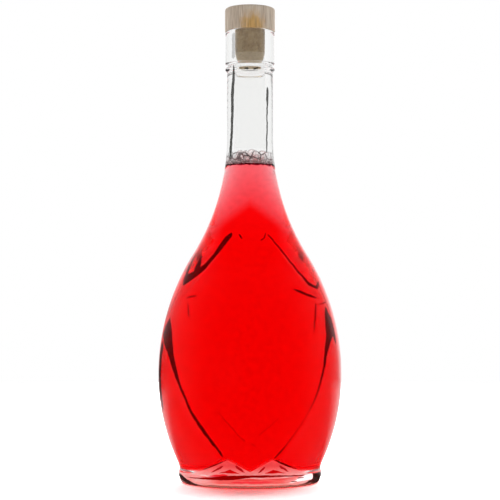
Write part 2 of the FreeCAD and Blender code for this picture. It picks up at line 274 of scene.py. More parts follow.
# Painted deeper red below the neck, a painted shade where the shoulders lengthen the light's way, in mm
DEEP_TOP = 174.5
DEEP_SLOPE = 0.74
DEEP_FADE = 10.0
DEEP_SIDE = (28.0, 14.0)
DEEP_RISE = (112.0, 140.0)
DEEP_PAINTED_SHADE = (1.0, 0.002, 0.004)

# Clear glass where the bottle is full, where it is empty (a painted shade, darker and faintly grey-green),
# and where it is hazy
FULL_SHADE = (1, 1, 1)
EMPTY_PAINTED_SHADE = (0.932, 0.932, 0.926)
HAZY_SHADE = (0.92, 0.925, 0.92)

# How much each clear stuff bends light
GLASS_BEND = 1.52
DRINK_BEND = 1.345
FILM_BEND = 1.33

# The drink's tint, and a painted shade along its uneven brim against the wall
DRINK_TINT = (0.99, 0.01, 0.10, 1)
DRINK_DENSITY = 95.0
BRIM_PAINTED_SHADE = (0.06, 0.0, 0.004)
BRIM_RISE = 0.9 * MM
BRIM_SOFTNESS = 0.3 * MM
BRIM_LUMPS = 2.4 * MM

# Stopper
HEAD_EDGE = 1.3 * MM
HEAD_UNDER_EDGE = 0.4 * MM
HEAD_CROWN = 0.25 * MM
SOCKET_GAP = 0.05 * MM
GRAIN_DEPTH = 0.07 * MM
SHANK_TAPER = Vector((1.5, 5.0)) * MM
SHANK_ROUND = 0.6 * MM
PIT_DEPTH = 0.3 * MM
STAIN_SPOT = Vector((1.5, -15.5, 279.5)) * MM

# Soft light on plain surfaces: a large one from the back, and a low fill all round
BACK_WAY = Vector((0.05, 0.87, 0.49))
BACK_LIGHT = 3.6
FILL_LIGHT = 1.9
FRONT_SHARE = 0.75
TOP_LIGHT = 0.05
RED_LIGHT = 5.4
GLASS_LIGHT = 1.05
RED_CROSSINGS = 4.5
LIGHT_BOUNCES = 128

# What shines on the glass, by how far a way points to the back: (share, strength)
SHEEN_LIGHT = ((-1.0, 0.005), (0.2, 0.01), (0.42, 0.04), (0.62, 0.12), (0.82, 0.40), (0.91, 1.0))
FLOOR_SHEEN = ((-1.0, 0.005), (0.2, 0.01), (0.42, 0.10), (0.62, 0.55), (0.82, 0.95), (0.91, 1.0))

# Floor: its radius, and from where to where its shine gives way to the room's
FLOOR_RADIUS = 1.5
FLOOR_FADE = (0.4, 1.4)

# A dark screen in what shines on the glass: how far left it stands, how high, and from how far off it shows
SCREEN_SIDE = (-0.04, -0.36)
SCREEN_TOP = (0.30, -0.05)
SCREEN_SHADE = (0.02, 0.02, 0.02)
SCREEN_ON_FLOOR = (0.06, 0.9)

# A painted glow in the thick foot, for light that it gathers, and the brighter painted glow of its glints
FOOT_PAINTED_GLOW = 0.15
FOOT_PAINTED_GLINT_GLOW = 5.0

# A painted red glow that stands in for light caught between the walls: after how many surfaces, over how
# many, and of how many crossings at least
PAINTED_CAUGHT_GLOW = (0.9, 0.012, 0.02)
CAUGHT_AFTER = 18.0
CAUGHT_SPAN = 5.0
CAUGHT_CROSSINGS = 9.5

# How much of its plain sheen a glass surface shows. Glass that touches the drink shows hardly any
FULL_SHEEN = (1, 1, 1, 1)
NO_SHEEN = (0, 0, 0, 1)
FOOT_SHEEN = (0.25, 0.25, 0.25, 1)

# How finely the round pieces are turned
BOTTLE_COLUMNS = 304
STOPPER_COLUMNS = 240
RELIEF_ROW = 1.0 * MM
PLAIN_ROW = 3.0 * MM
RELIEF_TOP = 168.0 * MM
WELD = 0.001 * MM

# Drink and froth
DRINK_OVERLAP = 0.08 * MM
LEVEL_DROP = 1.4 * MM
MENISCUS_RISE = 0.7 * MM
MENISCUS_REACH = 2.2 * MM
FROTH_TOP = 203.5 * MM
FROTH_LOW = FILL_LEVEL - LEVEL_DROP
FROTH_CELLS = (270.0, 620.0)

# Bubbles: the film's share of their radius, the large ones' places and radii in mm, and how many
# small ones there are, of which radius and how finely made
FILM = 0.03
LARGE_BUBBLES = (
    (-5.4, -5.2, 200.4, 2.4), (1.0, -6.6, 200.8, 2.6), (7.0, -4.4, 200.2, 2.5), (-8.0, 1.0, 199.4, 2.0),
    (-2.8, 1.4, 201.2, 2.3), (3.4, 3.0, 201.0, 2.5), (-5.0, 6.4, 200.0, 2.2), (7.6, 3.0, 199.4, 2.1),
)
SMALL_BUBBLES = ((12, 1.5 * MM, 2), (24, 0.85 * MM, 2))

# Camera
EYE = Vector((0.0, -0.92, 0.098))
AIM = Vector((0.0, 0.0, 0.142))
LENS = 107.6


def lower_bulge():
    """The radius of the bulge below the widest ring, which runs smoothly into the waist."""
    across = FOOT_RADIUS + WAIST_ROUND - BELLY_RADIUS
    rise = BELLY_HEIGHT - FOOT_BAND
    return (across**2 + rise**2 - WAIST_ROUND**2) / (2 * (WAIST_ROUND - across))


def round_out(centre, radius, height):
    """Distance from the axis of a bulging arc at a height."""
    return centre[0] + math.sqrt(radius**2 - (height - centre[1]) ** 2)


def round_in(centre, radius, height):
    """Distance from the axis of a hollow arc at a height."""
    return centre[0] - math.sqrt(radius**2 - (height - centre[1]) ** 2)


@functools.cache
def wall_radius(height, depth, neck):
    """How far the bottle's wall stands from the axis at a height, drawn in from the outside by a depth."""
    low = lower_bulge()
    low_centre = (BELLY_RADIUS - low, BELLY_HEIGHT)
    waist_centre = (FOOT_RADIUS + WAIST_ROUND, FOOT_BAND)
    waist_top = BELLY_HEIGHT + (FOOT_BAND - BELLY_HEIGHT) * low / (low + WAIST_ROUND)
    high = SHOULDER_BULGE - depth
    high_centre = (BELLY_RADIUS - SHOULDER_BULGE, BELLY_HEIGHT)
    across = neck - high_centre[0]
    rise = NECK_START - BELLY_HEIGHT
    sweep = (across**2 + rise**2 - high**2) / (2 * (high - across))
    turning = BELLY_HEIGHT + rise * high / (high + sweep)
    if height < FOOT_BAND:
        return FOOT_RADIUS - depth
    if height < waist_top:
        return round_in(waist_centre, WAIST_ROUND + depth, height)
    if height < BELLY_HEIGHT:
        return round_out(low_centre, low - depth, height)
    if height < turning:
        return round_out(high_centre, high, height)
    if height < NECK_START:
        return round_in((neck + sweep, NECK_START), sweep, height)
    return neck


def steps_between(low, high, row):
    """Heights from low to high, both kept, about a row apart."""
    count = max(1, round((high - low) / row))
    return [low + (high - low) * i / count for i in range(count + 1)]


def corner(before, at, after, radius, segments=4):
    """A corner of an outline, rounded off by a small curve that touches both of its sides."""
    first = at + (before - at).normalized() * min(radius, (before - at).length / 2)
    last = at + (after - at).normalized() * min(radius, (after - at).length / 2)
    shares = [i / segments for i in range(segments + 1)]
    return [first.lerp(at, t).lerp(at.lerp(last, t), t) for t in shares]


def rounded(corners):
    """An outline through (across, up, rounding) corners. Its first and last ones stay sharp."""
    spots = [Vector(c[:2]) for c in corners]
    outline = [spots[0]]
    for i in range(1, len(spots) - 1):
        if corners[i][2] > 0:
            outline += corner(spots[i - 1], spots[i], spots[i + 1], corners[i][2])
        else:
            outline.append(spots[i])
    return outline + [spots[-1]]


def filled_in(outline, row):
    """The same outline with points added on its long straight runs, about a row apart."""
    spots = [outline[0]]
    for start, end in zip(outline, outline[1:]):
        spots += [start.lerp(end, t) for t in steps_between(0, 1, row / max(row, (end - start).length))[1:]]
    return spots


def base_outline():
    """From the middle of the push-up out to the foot's side."""
    dome = (PUSHUP_RADIUS**2 + PUSHUP_RISE**2) / (2 * PUSHUP_RISE)
    pushup = [
        Vector((across, math.sqrt(dome**2 - across**2) - dome + PUSHUP_RISE))
        for across in steps_between(0, PUSHUP_RADIUS, PLAIN_ROW)
    ]
    heel = [
        Vector((FOOT_RADIUS - HEEL_ROUND * (1 - math.sin(turn)), HEEL_ROUND * (1 - math.cos(turn))))
        for turn in steps_between(0, math.pi / 2, math.pi / 12)
    ]
    return pushup + heel


def outside_outline():
    """From the foot's side up over belly, shoulder, neck, bead and collar to the mouth."""
    relief = steps_between(HEEL_ROUND, RELIEF_TOP, RELIEF_ROW)[1:]
    shoulder = steps_between(RELIEF_TOP, NECK_START, PLAIN_ROW)[1:]
    body = [Vector((wall_radius(up, 0, NECK_RADIUS), up)) for up in relief + shoulder]
    bead_low = LIP_HEIGHT - BEAD_DROP
    bead = BEAD_BULGE * 1.4
    finish = rounded([
        (NECK_RADIUS, NECK_START + PLAIN_ROW, 0),
        (NECK_RADIUS, bead_low, EDGE_ROUND),
        (NECK_RADIUS + bead, bead_low + BEAD_HEIGHT / 2, BEAD_HEIGHT * 0.45),
        (NECK_RADIUS, bead_low + BEAD_HEIGHT, EDGE_ROUND),
        (NECK_RADIUS, LIP_HEIGHT - COLLAR_DROP, EDGE_ROUND),
        (COLLAR_RADIUS, LIP_HEIGHT - COLLAR_DROP, EDGE_ROUND * 1.6),
        (COLLAR_RADIUS, LIP_HEIGHT, LIP_ROUND),
        (MOUTH_BORE, LIP_HEIGHT, MOUTH_ROUND),
        (MOUTH_BORE, LIP_HEIGHT - MOUTH_DROP, EDGE_ROUND * 2),
        (NECK_BORE, LIP_HEIGHT - TAPER_DROP, EDGE_ROUND * 2),
        (NECK_BORE, NECK_START, 0),
    ])
    return body + finish


def hollow_outline(outset=0.0):
    """From the neck bore down the inner wall to the middle of the floor, let out by an outset."""
    low = lower_bulge()
    floor = BASE_THICKNESS - outset
    heel = INNER_HEEL + outset
    reach = low - WALL - INNER_HEEL
    heel_up = BASE_THICKNESS + INNER_HEEL
    low_across = BELLY_RADIUS - low
    heel_across = low_across + math.sqrt(reach**2 - (BELLY_HEIGHT - heel_up) ** 2)
    meeting = math.atan2(heel_up - BELLY_HEIGHT, heel_across - low_across)
    wall_low = heel_up + heel * math.sin(meeting)
    wall = [
        Vector((wall_radius(up, WALL - outset, NECK_BORE + outset), up))
        for up in reversed(steps_between(wall_low, NECK_START, PLAIN_ROW))
    ]
    heel_round = [
        Vector((heel_across + heel * math.cos(turn), heel_up + heel * math.sin(turn)))
        for turn in reversed(steps_between(-math.pi / 2, meeting, math.pi / 18))
    ]
    floor_rings = [
        Vector((across, floor)) for across in reversed(steps_between(0, heel_across, PLAIN_ROW))
    ]
    return wall + heel_round[1:] + floor_rings[1:]


def turned(outline, columns, shape=None):
    """A piece turned from an outline that starts and ends on the axis: a quarter is shaped, then mirrored."""
    bm = bmesh.new()
    verts = [bm.verts.new((spot.x, 0, spot.y)) for spot in outline]
    edges = [bm.edges.new(pair) for pair in zip(verts, verts[1:])]
    bmesh.ops.spin(
        bm,
        geom=verts + edges,
        axis=(0, 0, 1),
        cent=(0, 0, 0),
        dvec=(0, 0, 0),
        angle=math.pi / 2,
        steps=columns // 4,
        use_merge=False,
    )
    bmesh.ops.remove_doubles(bm, verts=bm.verts, dist=WELD)
    if shape:
        shape(bm)
    for axis in "XY":
        bmesh.ops.mirror(
            bm, geom=bm.verts[:] + bm.edges[:] + bm.faces[:], matrix=Matrix(), merge_dist=WELD, axis=axis
        )
    bmesh.ops.remove_doubles(bm, verts=bm.verts, dist=WELD)
    bmesh.ops.recalc_face_normals(bm, faces=bm.faces)
    return bm


def finished(name, bm, materials, body, slot, *nodes):
    """Makes a smooth-shaded piece of a mesh, which rides on a body and stands for its nodes."""
    mesh = bpy.data.meshes.new(name)
    bm.to_mesh(mesh)
    bm.free()
    mesh.shade_smooth()
    for material in materials:
        mesh.materials.append(material)
    piece = bpy.data.objects.new(name, mesh)
    bpy.context.scene.collection.objects.link(piece)
    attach(piece, body)
    if nodes:
        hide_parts(*nodes)
    return piece


def eased(share):
    """0 below 0, 1 above 1, and a smooth rise between."""
    t = min(1.0, max(0.0, share))
    return t * t * (3 - 2 * t)


def eased_between(value, low, high):
    """0 at low, 1 at high, and a smooth rise between."""
    return eased((value - low) / (high - low))


def table_mask(across, up):
    """1 inside the pressed table seen from the front, 0 outside, rising over the creases' width."""
    upper = (TABLE_APEX - up - TABLE_SLOPE * across) / math.hypot(1, TABLE_SLOPE)
    lower = LEAF_ARC - math.hypot(across + LEAF_ARC - LEAF_SIDE, up - LEAF_HEIGHT)
    return eased(upper / CREASE_WIDTH) * eased(lower / CREASE_WIDTH)


def zigzag(turn):
    """Height of the thick foot's edge at a turn from the front: a valley, a peak and a long fall."""
    if turn < FOOT_PEAK_TURN:
        return FOOT_VALLEY + (FOOT_PEAK - FOOT_VALLEY) * turn / FOOT_PEAK_TURN
    fall = max(0.0, (FOOT_END_TURN - turn) / (FOOT_END_TURN - FOOT_PEAK_TURN))
    return FOOT_END + (FOOT_PEAK - FOOT_END) * fall**2


def on_zigzag(up, turn):
    """Moves the rows near the foot, so that one of them runs along the zigzag edge."""
    edge = zigzag(turn)
    if up < FOOT_ROW + WELD:
        return HEEL_ROUND + (up - HEEL_ROUND) * (edge - HEEL_ROUND) / (FOOT_ROW - HEEL_ROUND)
    if up < FOOT_ROWS_TOP:
        return edge + (up - FOOT_ROW) * (FOOT_ROWS_TOP - edge) / (FOOT_ROWS_TOP - FOOT_ROW)
    return up


def press_relief(bm):
    """Sinks the tables into the bottle's front and back, and raises the thick foot with its zigzag edge."""
    for vert in bm.verts:
        across = math.hypot(vert.co.x, vert.co.y)
        row = vert.co.z
        outside = HEEL_ROUND < row < RELIEF_TOP and across > wall_radius(row, WALL / 2, NECK_RADIUS)
        if not outside:
            continue
        facing = abs(vert.co.y) / across
        turn = math.atan2(abs(vert.co.x), abs(vert.co.y))
        up = on_zigzag(row, turn)
        reach = wall_radius(up, 0, NECK_RADIUS)
        if row < FOOT_ROW + WELD:
            reach += FOOT_RIDGE * eased((row - HEEL_ROUND) / HEEL_ROUND)
        else:
            depth = TABLE_DEPTH * eased_between(facing, *TABLE_SIDE) * eased_between(up, *TABLE_FADE)
            reach -= depth * table_mask(abs(vert.co.x), up)
        vert.co.x *= reach / across
        vert.co.y *= reach / across
        vert.co.z = up


def glass_kind(face):
    """Which glass a face of the bottle shows: 0 plain, 1 touching the drink, 2 the thick foot."""
    spot = face.calc_center_median()
    across = math.hypot(spot.x, spot.y)
    inside = across < wall_radius(round(spot.z, 5), WALL / 2, NECK_RADIUS)
    if inside and BASE_THICKNESS * 0.9 < spot.z < FILL_LEVEL:
        return 1
    turn = math.atan2(abs(spot.x), abs(spot.y))
    if spot.z < zigzag(turn) and across > PUSHUP_RADIUS and not inside:
        return 2
    return 0


def make_bottle():
    outline = base_outline() + outside_outline() + hollow_outline()[1:]
    bm = turned(outline, BOTTLE_COLUMNS, press_relief)
    for face in bm.faces:
        face.material_index = glass_kind(face)
    finished("bottle", bm, (dry_glass(), wet_glass(), foot_glass()), "bottle", "clear_glass", "bottle_glass")


def make_drink():
    """The drink reaches a hair into the glass, so that no air shows between them, and climbs its wall."""
    level = FILL_LEVEL - LEVEL_DROP
    brim = wall_radius(level, WALL - DRINK_OVERLAP, NECK_BORE + DRINK_OVERLAP)
    top = [
        Vector((across, level + MENISCUS_RISE * math.exp(-(brim - across) / MENISCUS_REACH)))
        for across in steps_between(0, brim, MM)
    ]
    wall = [spot for spot in hollow_outline(DRINK_OVERLAP) if spot.y < level]
    bm = turned(top + wall, BOTTLE_COLUMNS)
    finished("red_drink", bm, (red_drink(),), "bottle", "red_drink", "drink")


def blow_bubble(bm, spot, radius, subdivisions):
    """A hollow ball with a thin film for its wall."""
    place = Matrix.Translation(spot)
    bmesh.ops.create_icosphere(bm, subdivisions=subdivisions, radius=radius, matrix=place)
    inner = bmesh.ops.create_icosphere(
        bm, subdivisions=subdivisions, radius=radius * (1 - FILM), matrix=place
    )
    faces = {face for vert in inner["verts"] for face in vert.link_faces}
    bmesh.ops.reverse_faces(bm, faces=list(faces))


def make_froth():
    """Hollow bubbles of several sizes, settled on the drink, the large ones on top."""
    draw = random.Random(7)
    bore = wall_radius(FILL_LEVEL, WALL, NECK_BORE)
    bm = bmesh.new()
    placed = []
    for across, depth, up, radius in LARGE_BUBBLES:
        placed.append((Vector((across, depth, up)) * MM, radius * MM))
        blow_bubble(bm, *placed[-1], 3)
    for count, size, subdivisions in SMALL_BUBBLES:
        for _ in range(count):
            radius = size * draw.uniform(0.8, 1.15)
            for _ in range(60):
                turn = draw.uniform(0, math.tau)
                out = (bore - radius) * math.sqrt(draw.random())
                low = FILL_LEVEL + radius * 0.6
                high = max(low, FROTH_TOP - 2.2 * size - 2 * MM * (out / bore) ** 2)
                spot = Vector((out * math.cos(turn), out * math.sin(turn), draw.uniform(low, high)))
                clear = all((spot - at).length > (radius + near) * 0.9 for at, near in placed)
                if clear:
                    placed.append((spot, radius))
                    blow_bubble(bm, spot, radius, subdivisions)
                    break
    finished("froth", bm, (bubble_film(),), "bottle", "red_drink")


def cut_grain(bm):
    """Fine upright grooves in the turned side, as open grain leaves them."""
    for vert in bm.verts:
        across = math.hypot(vert.co.x, vert.co.y)
        if across < HEAD_RADIUS * 0.9:
            continue
        turn = math.atan2(vert.co.y, vert.co.x)
        spot = Vector((turn * 26, vert.co.z / MM * 0.12, 3.0))
        groove = GRAIN_DEPTH * max(0.0, noise.noise(spot) + 0.35 * noise.noise(spot * 2.7))
        vert.co.x *= 1 - groove / across
        vert.co.y *= 1 - groove / across


def make_head():
    """The turned wooden head, with a crowned top and a blind socket for the shank."""
    side = rounded([
        (0, HEAD_TOP, 0),
        (HEAD_RADIUS, HEAD_TOP - HEAD_CROWN, HEAD_EDGE),
        (HEAD_RADIUS, HEAD_LOW, HEAD_UNDER_EDGE),
        (SHANK_RADIUS + SOCKET_GAP, HEAD_LOW, 0),
        (SHANK_RADIUS + SOCKET_GAP, SHANK_TOP + SOCKET_GAP, 0),
        (0, SHANK_TOP + SOCKET_GAP, 0),
    ])
    bm = turned(filled_in(side, MM), STOPPER_COLUMNS, cut_grain)
    finished("wooden_head", bm, (turned_wood(),), "stopper", "turned_wood", "stopper_head")


def pit_cork(bm):
    """Small pits and crumbs lost from the cork's side and end."""
    for vert in bm.verts:
        spot = vert.co / MM
        pit = max(0.0, noise.noise(spot * 0.55) - 0.28) * 1.6 + max(0.0, noise.noise(spot * 1.3) - 0.38)
        across = max(math.hypot(vert.co.x, vert.co.y), MM)
        inward = PIT_DEPTH * min(1.0, pit * 2)
        vert.co.x *= 1 - inward / across
        vert.co.y *= 1 - inward / across


def make_shank():
    """The cork shank, drawn in towards its lower end."""
    side = rounded([
        (0, SHANK_TOP, 0),
        (SHANK_RADIUS, SHANK_TOP, SHANK_ROUND),
        (SHANK_RADIUS, SHANK_LOW + SHANK_TAPER.y, SHANK_ROUND),
        (SHANK_RADIUS - SHANK_TAPER.x, SHANK_LOW, SHANK_ROUND),
        (0, SHANK_LOW, 0),
    ])
    bm = turned(filled_in(side, 0.5 * MM), STOPPER_COLUMNS, pit_cork)
    finished("cork_shank", bm, (cork(),), "stopper", "cork", "stopper_shank")


def new_material(name):
    material = bpy.data.materials.new(name)
    material.use_nodes = True
    tree = material.node_tree
    tree.nodes.clear()
    return material, tree


def new_group(name, inputs, outputs):
    """An empty shader node group with named sockets, given as {name: kind}."""
    group = bpy.data.node_groups.new(name, "ShaderNodeTree")
    for socket, kind in inputs.items():
        group.interface.new_socket(socket, in_out="INPUT", socket_type=f"NodeSocket{kind}")
    for socket, kind in outputs.items():
        group.interface.new_socket(socket, in_out="OUTPUT", socket_type=f"NodeSocket{kind}")
    return group


def add(tree, kind, **values):
    """A node of a kind, with its inputs or properties set by name. A socket as a value is linked."""
    node = tree.nodes.new(kind)
    for name, value in values.items():
        if hasattr(node, name) and name not in ("inputs", "outputs"):
            setattr(node, name, value)
    for name, value in values.items():
        if hasattr(node, name):
            continue
        index = int(name[1:]) if name[0] == "i" and name[1:].isdigit() else name.replace("_", " ")
        if isinstance(value, bpy.types.NodeSocket):
            tree.links.new(value, node.inputs[index])
        else:
            node.inputs[index].default_value = value
    return node


def math_node(tree, operation, first, second=0.0, third=0.0, clamp=False):
    """The outcome of a sum on sockets or plain numbers."""
    node = add(tree, "ShaderNodeMath", operation=operation, use_clamp=clamp, i0=first, i1=second, i2=third)
    return node.outputs[0]


def times(tree, first, second):
    return math_node(tree, "MULTIPLY", first, second)


def path_fact(tree, fact):
    """What is known of the light's way so far."""
    return add(tree, "ShaderNodeLightPath").outputs[fact]


def ranged(tree, value, low, high, to_low=0.0, to_high=1.0):
    """A value carried smoothly from one range to another, and kept in it."""
    node = add(
        tree,
        "ShaderNodeMapRange",
        interpolation_type="SMOOTHSTEP",
        Value=value,
        From_Min=low,
        From_Max=high,
        To_Min=to_low,
        To_Max=to_high,
    )
    return node.outputs["Result"]


def colour_ramp(tree, value, *stops):
    """A colour that runs through (place, colour) stops as a value goes from 0 to 1."""
    node = add(tree, "ShaderNodeValToRGB", Fac=value)
    elements = node.color_ramp.elements
    elements.remove(elements[1])
    for number, (place, shade) in enumerate(stops):
        stop = elements[0] if number == 0 else elements.new(1.0)
        stop.position = place
        stop.color = (*shade, 1)
    return node.outputs["Color"]


def mixed(tree, share, first, second):
    """A colour between two, by a share."""
    node = add(tree, "ShaderNodeMix", data_type="RGBA")
    for index, value in ((0, share), (6, first), (7, second)):
        if isinstance(value, bpy.types.NodeSocket):
            tree.links.new(value, node.inputs[index])
        else:
            node.inputs[index].default_value = value if index == 0 else (*value, 1)
    return node.outputs[2]


def object_place(tree, stretch=(1, 1, 1)):
    """Where a point lies on its piece, in metres times a stretch."""
    place = add(tree, "ShaderNodeTexCoord")
    return add(tree, "ShaderNodeMapping", Vector=place.outputs["Object"], Scale=stretch).outputs[0]


def surface_output(tree, shader, volume=None):
    output = add(tree, "ShaderNodeOutputMaterial", Surface=shader)
    if volume:
        tree.links.new(volume, output.inputs["Volume"])


def principled(tree, volume=None, **values):
    """The material's surface, with its values set by name, and what fills the piece."""
    shader = add(tree, "ShaderNodeBsdfPrincipled", **values)
    surface_output(tree, shader.outputs["BSDF"], volume)


@functools.cache
def moulded_ripple():
    """Slow waves and a faint haze, as a mould leaves them on glass and a drink's skin has them."""
    inputs = {"Place": "Vector", "Size": "Float"}
    group = new_group("moulded_ripple", inputs, {"Height": "Float", "Haze": "Float"})
    source = group.nodes.new("NodeGroupInput").outputs
    wide = add(group, "ShaderNodeTexNoise", Vector=source["Place"], Scale=source["Size"], Detail=2.0)
    fine_size = times(group, source["Size"], 4.3)
    fine = add(group, "ShaderNodeTexNoise", Vector=source["Place"], Scale=fine_size, Detail=2.0)
    height = math_node(group, "MULTIPLY_ADD", fine.outputs["Fac"], 0.12, wide.outputs["Fac"])
    haze = ranged(group, fine.outputs["Fac"], 0.35, 0.75)
    add(group, "NodeGroupOutput", Height=height, Haze=haze)
    return group


def rippled(tree, size):
    """The moulded ripple on a piece, with waves of a size."""
    return add(tree, "ShaderNodeGroup", node_tree=moulded_ripple(), Place=object_place(tree), Size=size)


def stroke(tree, along, aside, points, width=1.0):
    """1 on a stroke through (along, aside, half width) points, 0 off it, with a share of its width."""
    first = points[0][0]
    last = points[-1][0]
    share = add(
        tree, "ShaderNodeMapRange", Value=along, From_Min=first, From_Max=last, To_Min=0.0, To_Max=1.0
    )
    stops = [
        ((run - first) / (last - first), (0.5 + side / STROKE_REACH / 2, half / STROKE_BROADEST, 0))
        for run, side, half in points
    ]
    course = colour_ramp(tree, share.outputs["Result"], *stops)
    parts = add(tree, "ShaderNodeSeparateColor", Color=course)
    middle = math_node(tree, "MULTIPLY_ADD", parts.outputs["Red"], 2 * STROKE_REACH, -STROKE_REACH)
    off = math_node(tree, "ABSOLUTE", math_node(tree, "SUBTRACT", aside, middle))
    half = times(tree, parts.outputs["Green"], STROKE_BROADEST * STROKE_SWELL)
    half = times(tree, half, width)
    depth = math_node(tree, "SUBTRACT", half, off)
    return math_node(tree, "DIVIDE", depth, STROKE_SOFTNESS, clamp=True)


def stroke_places(tree):
    """Place across and height in mm, a little unsteady, and 1 on glass that the eye meets first."""
    place = add(tree, "ShaderNodeTexCoord").outputs["Object"]
    waver = add(tree, "ShaderNodeTexNoise", Vector=place, Scale=STROKE_WAVER, Detail=1.0)
    shift = math_node(tree, "MULTIPLY_ADD", waver.outputs["Fac"], STROKE_WOBBLE * 2, -STROKE_WOBBLE)
    split = add(tree, "ShaderNodeSeparateXYZ", Vector=place)
    across = math_node(tree, "MULTIPLY_ADD", split.outputs["X"], 1 / MM, shift)
    up = math_node(tree, "MULTIPLY_ADD", split.outputs["Z"], 1 / MM, shift)
    return across, up, path_fact(tree, "Is Camera Ray")


def slanted(tree, low, high):
    """0 on glass that is seen straight on, 1 on glass that is seen at a slant."""
    return ranged(tree, add(tree, "ShaderNodeLayerWeight", Blend=0.5).outputs["Facing"], low, high)


def stroke_width(tree):
    """The share of its width that a stroke shows: on the bottle's sides it looks broad only at a slant."""
    split = add(tree, "ShaderNodeSeparateXYZ", Vector=add(tree, "ShaderNodeTexCoord").outputs["Object"])
    flat = add(tree, "ShaderNodeCombineXYZ", X=split.outputs["X"], Y=split.outputs["Y"])
    out = add(tree, "ShaderNodeVectorMath", operation="NORMALIZE", i0=flat.outputs["Vector"])
    way = add(tree, "ShaderNodeSeparateXYZ", Vector=out.outputs["Vector"])
    side = ranged(tree, math_node(tree, "ABSOLUTE", way.outputs["X"]), *STROKE_SIDE, 0.0, 1 - STROKE_SLIM)
    straight_on = math_node(tree, "SUBTRACT", 1.0, slanted(tree, *STROKE_SLANT))
    return math_node(tree, "SUBTRACT", 1.0, times(tree, side, straight_on))


def glass_shader(tree, shade, ripple, sheen, through, glow_strength=0.0, glow=(1, 1, 1, 1)):
    """Clear moulded glass of a shade, with a rippled skin, and with a painted glow of a colour and strength.
    """
    haze = times(tree, ripple.outputs["Haze"], 0.005)
    bump = add(tree, "ShaderNodeBump", Strength=0.5, Distance=0.02 * MM, Height=ripple.outputs["Height"])
    principled(
        tree,
        Base_Color=shade,
        Roughness=haze,
        IOR=GLASS_BEND,
        Specular_Tint=sheen,
        Transmission_Weight=through,
        Emission_Color=glow,
        Emission_Strength=glow_strength,
        Normal=bump.outputs["Normal"],
    )


def painted_froth_shade(tree, plain):
    """Painted shade on the glass by the froth: dark outlines of bubbles, and shade that grows darker and
    redder towards the drink.
    """
    place = add(tree, "ShaderNodeTexCoord").outputs["Object"]
    up = add(tree, "ShaderNodeSeparateXYZ", Vector=place).outputs["Z"]
    large, small = (
        add(tree, "ShaderNodeTexVoronoi", feature="DISTANCE_TO_EDGE", Vector=place, Scale=size)
        for size in FROTH_CELLS
    )
    low = ranged(tree, up, FROTH_LOW + 3.5 * MM, FROTH_LOW + 2.5 * MM)
    edge = mixed(tree, low, large.outputs["Distance"], small.outputs["Distance"])
    outline = ranged(tree, edge, 0.05, 0.18, 1.0, 0.0)
    fall = ranged(tree, up, FROTH_TOP, FROTH_LOW)
    depth = colour_ramp(
        tree,
        fall,
        (0.0, (1, 1, 1)),
        (0.35, (0.66, 0.64, 0.64)),
        (0.75, (0.42, 0.32, 0.32)),
        (1.0, (0.12, 0.03, 0.035)),
    )
    line = mixed(tree, outline, (1, 1, 1), (0.08, 0.06, 0.06))
    inside = times(tree, outline, ranged(tree, fall, 0.0, 0.2))
    shade = add(tree, "ShaderNodeMix", data_type="RGBA", blend_type="MULTIPLY")
    shade.inputs[0].default_value = 1.0
    tree.links.new(depth, shade.inputs[6])
    tree.links.new(mixed(tree, inside, (1, 1, 1), line), shade.inputs[7])
    above = math_node(tree, "GREATER_THAN", up, FROTH_LOW)
    below = math_node(tree, "LESS_THAN", up, FROTH_TOP)
    met = times(tree, below, path_fact(tree, "Is Camera Ray"))
    return mixed(tree, times(tree, above, met), plain, shade.outputs[2])


def caught_light(tree):
    """1 once on each way of light that is thrown to and fro through the drink, 0 otherwise."""
    ray = add(tree, "ShaderNodeLightPath")
    once = math_node(tree, "COMPARE", ray.outputs["Ray Depth"], CAUGHT_AFTER, CAUGHT_SPAN / 2)
    drowned = math_node(tree, "GREATER_THAN", ray.outputs["Transmission Depth"], CAUGHT_CROSSINGS)
    return times(tree, once, drowned)


